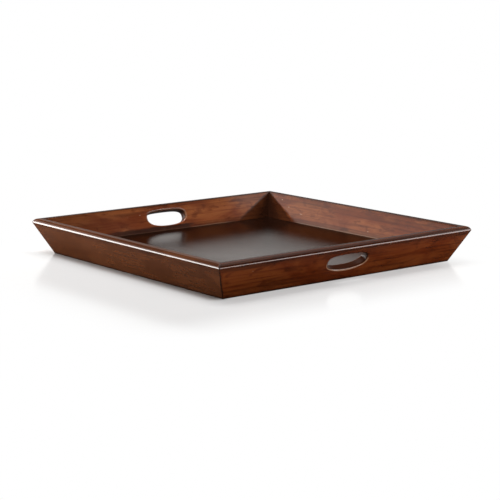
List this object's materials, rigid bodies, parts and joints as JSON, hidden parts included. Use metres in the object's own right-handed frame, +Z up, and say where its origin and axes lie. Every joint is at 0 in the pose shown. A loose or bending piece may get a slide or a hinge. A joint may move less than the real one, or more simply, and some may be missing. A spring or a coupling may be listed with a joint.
{
  "type": "ottoman tray",
  "caption": "Square wooden ottoman tray with flared mitred sides, a rounded rim and an oval hand hole in two facing sides.",
  "frame": {"origin": "centre of the underside, in the plane of the boards' lower edges", "axes": "+Z up through the tray's floor; +X and -X towards the two boards with hand holes; +Y and -Y towards the two plain boards"},
  "size_m": [0.7, 0.7, 0.0794],
  "materials": {
    "stained_board": "dark cherry stain under gloss lacquer",
    "stained_handle_board": "dark cherry stain under gloss lacquer",
    "stained_panel": "dark cherry stained veneer under gloss lacquer",
    "spline_wood": "bare",
    "block_wood": "bare"
  },
  "bodies": {
    "root": {"front_board": "stained_board", "back_board": "stained_board", "left_handle_board": "stained_handle_board", "right_handle_board": "stained_handle_board", "floor_panel": "stained_panel", "mitre_spline_back_right": "spline_wood", "mitre_spline_back_left": "spline_wood", "mitre_spline_front_left": "spline_wood", "mitre_spline_front_right": "spline_wood", "corner_block_back_right": "block_wood", "corner_block_back_left": "block_wood", "corner_block_front_left": "block_wood", "corner_block_front_right": "block_wood"}
  },
  "joints": []
}
